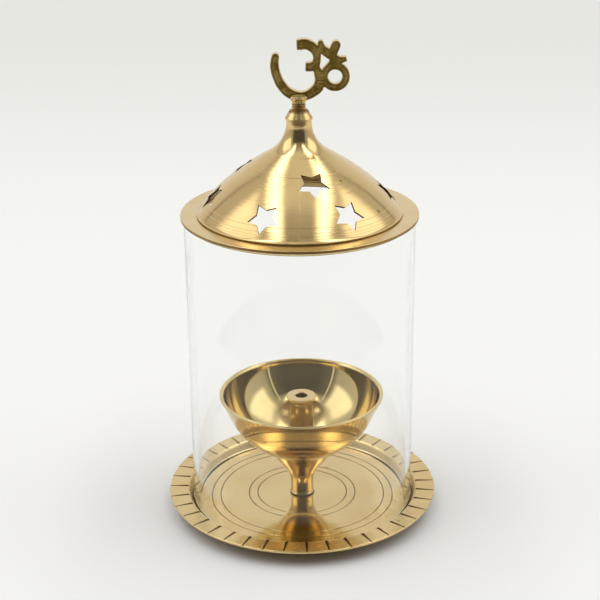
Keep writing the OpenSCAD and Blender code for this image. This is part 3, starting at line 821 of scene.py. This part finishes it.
def om_carving(piece):
    """A sunk line along every edge, and short marks across the sweep's lower right."""
    verts = piece.data.vertices
    edges = [v.co for v in verts if abs(v.normal.y) < 0.4]
    near = KDTree(len(edges))
    for i, co in enumerate(edges):
        near.insert((co.x, 0, co.z), i)
    near.balance()
    sweep = [Vector((p[0] * MM, 0, (OM_Z + p[1]) * MM)) for p in smooth_path(OM_SWEEP)]
    run = [0]
    for a, b in zip(sweep, sweep[1:]):
        run.append(run[-1] + (b - a).length / MM)
    along = KDTree(len(sweep))
    for i, co in enumerate(sweep):
        along.insert(co, i)
    along.balance()
    first, last = run[PATH_STEPS * HATCH_FIRST], run[PATH_STEPS * HATCH_LAST]
    moves = {}
    for v in verts:
        if abs(v.normal.y) < 0.8 or abs(v.co.y) < (OM_THICK / 2 - 0.4) * MM:
            continue
        flat = Vector((v.co.x, 0, v.co.z))
        inset = near.find(flat)[2] / MM
        dip = math.exp(-((inset - OM_EDGE_LINE) / OM_LINE_W) ** 2)
        point, i, gap = along.find(flat)
        if inset > OM_EDGE_LINE and gap < HATCH_REACH * MM and first < run[i] < last:
            tangent = (sweep[min(i + 1, len(sweep) - 1)] - sweep[max(i - 1, 0)]).normalized()
            place = run[i] + (flat - point).dot(tangent) / MM
            dip = max(dip, HATCH_SHARE * max(0, math.cos(place * TURN / OM_HATCH)) ** 2)
        moves[v.index] = math.copysign(dip, v.normal.y)
    carved = piece.data.attributes.new("carved", "FLOAT", "POINT")
    for i, dip in moves.items():
        carved.data[i].value = abs(dip)
        piece.data.vertices[i].co.y -= dip * OM_LINE_DEPTH * MM
    for v in piece.data.vertices:
        v.co.z = min(v.co.z, (OM_Z + OM_H) * MM)


def om_finial():
    """Strokes, loop and drilled boss, fused into one casting and carved."""
    strokes = [om_stroke(OM_SWEEP, True), om_stroke(OM_UPPER, False), om_stroke(OM_CROSSING, True),
               om_stroke(OM_LIMB, True)]
    half = OM_THICK / 2
    ring = [(OM_LOOP_IN, -half), (OM_LOOP_OUT, -half), (OM_LOOP_OUT, half), (OM_LOOP_IN, half)]
    loop = lathe("om_loop", ring, CAST, 96, axis=(0, 1, 0),
                 centre=(OM_LOOP[0] * MM, 0, (OM_Z + OM_LOOP[1]) * MM))
    boss_top = OM_Z + OM_BOSS_H
    boss = lathe("om_boss", softened([
        (0, OM_Z), (OM_BOSS_FOOT_R, OM_Z), (OM_BOSS_FOOT_R, OM_Z + 0.8, 0.6),
        (OM_BOSS_R, boss_top - 0.8, 0.5), (OM_BOSS_R - 0.4, boss_top, 0.3), (0, boss_top)]), CAST, 64)
    pick(boss)
    bpy.ops.object.mode_set(mode="EDIT")
    bpy.ops.mesh.select_all(action="SELECT")
    bpy.ops.transform.resize(value=(1, OM_BOSS_FLAT, 1), center_override=(0, 0, 0))
    bpy.ops.object.mode_set(mode="OBJECT")
    for drilled in (strokes[0], boss):
        deselect()
        bpy.ops.mesh.primitive_cylinder_add(vertices=32, radius=OM_HOLE_R * MM,
                                            depth=2 * OM_HOLE_DEPTH * MM, location=(0, 0, OM_Z * MM))
        hole = bpy.context.object
        settle(hole)
        cut(drilled, hole)
    piece = join(strokes + [loop, boss])
    piece.name = piece.data.name = "om_cast"
    apply_modifier(piece, "REMESH", mode="VOXEL", voxel_size=OM_VOXEL * MM)
    apply_modifier(piece, "SMOOTH", factor=0.5, iterations=4)
    om_carving(piece)
    piece.data.materials.clear()
    piece.data.materials.append(CAST)
    finish_piece(piece, "om", "om_finial", 45)


base_plate()
pedestal_stem()
oil_bowl()
wick_tube()
chimney_glass()
lid_flange()
lid_dome()
neck_collar()
finial_stud()
om_finial()
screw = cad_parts["base_screw"]
screw.data.materials.clear()
screw.data.materials.append(SATIN)


# Studio: a pale table in a white tent, with two lamp strips in its roof and a dark opening at the
# camera's side

TABLE_WHITE, BACKDROP = (0.90, 0.90, 0.885), (0.77, 0.775, 0.745)
SHEET_PALE, SHEET_DARK = (0.80, 0.79, 0.76), (0.16, 0.15, 0.13)
# Light of the tent's front walls, what its sides and its back add, and its roof, slits and lamp strips
WALL_LEVEL, SIDE_GAIN, BACK_GAIN = 0.52, 0.12, 0.22
ROOF_LEVEL, SLIT_LEVEL, STRIP_LEVEL = 0.85, 0.9, 2.8
# How much darker the seams, the roof's front and the opening are
SEAM_SHADE, FRONT_ROOF_SHADE, OPENING_SHADE = 0.75, 0.42, 0.7


def stage_plane(name, size, location, material):
    """A flat sheet of the studio, which isn't part of the lamp."""
    deselect()
    bpy.ops.mesh.primitive_plane_add(size=1, location=location)
    plane = bpy.context.object
    plane.name = name
    plane.scale = (*size, 1)
    settle(plane)
    plane.data.materials.append(material)
    return plane


def table_finish():
    """Matt white with painted shade that makes it a little greyer towards the back."""
    material, place, (x, y, z) = new_finish("table_white")
    tone = mix_colour(y.step(0.2, 1.1), TABLE_WHITE, BACKDROP)
    surface(x, x.node("ShaderNodeBsdfPrincipled", None,
                      {"Base Color": tone, "Roughness": 0.95, "Specular IOR Level": 0.0}))
    return material


def front_sheet_finish():
    """A sheet that darkens away from the lamp: a painted dark reflection for the shade at the camera's
    side.
    """
    material, place, (x, y, z) = new_finish("front_sheet_grey")
    tone = mix_colour((0 - y).step(0.11, 0.42), SHEET_PALE, SHEET_DARK)
    surface(x, x.node("ShaderNodeBsdfPrincipled", None,
                      {"Base Color": tone, "Roughness": 0.9, "Specular IOR Level": 0.0}))
    return material


def reflections_only(card):
    """A card that only shows in the metal and the glass."""
    card.visible_camera = card.visible_diffuse = card.visible_transmission = card.visible_shadow = False


stage_plane("studio_table", (16, 16), (0, 0, 0), table_finish())
# A sheet in front that only the metal and glass show: painted dark reflection
sheet = stage_plane("studio_front_sheet", (1.6, 1.5), (0, -0.86, 0.0005), front_sheet_finish())
reflections_only(sheet)

world = bpy.data.worlds.new("studio_tent")
world.use_nodes = True
tree = world.node_tree
tree.nodes.clear()
heading = add_node(tree, "ShaderNodeTexCoord", out="Generated")
split = add_node(tree, "ShaderNodeSeparateXYZ", None, {0: heading})
x, y, z = (Wire(tree, split.socket.node.outputs[i]) for i in range(3))
# Angles of a direction: round from the camera's side, and up from the table
degrees = 180 / math.pi
around = x.math("ARCTAN2", 0 - y).math("ABSOLUTE") * degrees
lift = z.math("ARCSINE") * degrees
# Two lamp strips in the roof, from front to back
roof = z.math("MAXIMUM", 0.08)
across, along = x.math("ABSOLUTE") / roof, (0 - y) / roof
strips = across.between(0.30, 0.50, 0.09) * along.between(-0.65, 0.75, 0.15)
# Walls that get paler to the back, with a dark seam in each back corner, under a pale roof
walls = WALL_LEVEL + around.step(60, 100) * SIDE_GAIN + around.step(125, 160) * BACK_GAIN
seam = around.between(133, 135, 1.5) * (1 - lift.step(46, 52))
ceiling = lift.step(54, 62)
front_roof = (1 - around.step(25, 55)) * (1 - lift.step(66, 84))
tent_level = ((walls * (1 - seam * SEAM_SHADE) * (1 - ceiling) + ceiling * ROOF_LEVEL)
              * (1 - front_roof * FRONT_ROOF_SHADE))
# A lit panel on each side, set further back on the right, and the dark opening towards the camera with a
# bright slit down each edge
panels = (around - x.step(-0.1, 0.1) * 6).between(62, 112, 6) * lift.between(23, 54, 4)
opening = (1 - around.step(50, 62)) * (1 - lift.step(41, 48))
slit = around.between(49, 51, 0.8) * (1 - lift.step(46, 53))
strength = (tent_level * (1 - opening * OPENING_SHADE) + panels * (1 - opening) + slit * SLIT_LEVEL
            + strips * STRIP_LEVEL)
tent = add_node(tree, "ShaderNodeBackground", None, {"Color": (1, 0.995, 0.98, 1), "Strength": strength})
# What the camera sees straight or through the glass is a plain pale backdrop
backdrop = add_node(tree, "ShaderNodeBackground", None, {"Color": (*BACKDROP, 1)})
path = add_node(tree, "ShaderNodeLightPath", out="Is Camera Ray")
through, mirrored, scattered = (Wire(tree, path.socket.node.outputs[name]) for name in
                                ("Is Transmission Ray", "Glossy Depth", "Diffuse Depth"))
plain = path.math("MAXIMUM", through * (1 - (mirrored + scattered).math("MINIMUM", 1.0)))
add_node(tree, "ShaderNodeOutputWorld", None,
         {"Surface": add_node(tree, "ShaderNodeMixShader", None, {0: plain, 1: tent, 2: backdrop})})
bpy.context.scene.world = world

# Camera at the photograph's place
PITCH = math.radians(21.68)
AWAY = 0.6431
TARGET = Vector((0, 0, 0.09884))
ROLL = math.radians(-0.514)
LENS = 87.48
SHIFT = -0.5 / 600
camera_data = bpy.data.cameras.new("camera")
camera_data.sensor_width = 36
camera_data.lens = LENS
camera_data.shift_x = SHIFT
camera_data.clip_start = 0.01
camera = bpy.data.objects.new("camera", camera_data)
camera.location = TARGET - AWAY * Vector((0, math.cos(PITCH), -math.sin(PITCH)))
turned = Matrix.Rotation(math.pi / 2 - PITCH, 3, "X") @ Matrix.Rotation(ROLL, 3, "Z")
camera.rotation_euler = turned.to_euler()
bpy.context.scene.collection.objects.link(camera)
bpy.context.scene.camera = camera
bpy.context.scene.view_settings.view_transform = "Standard"
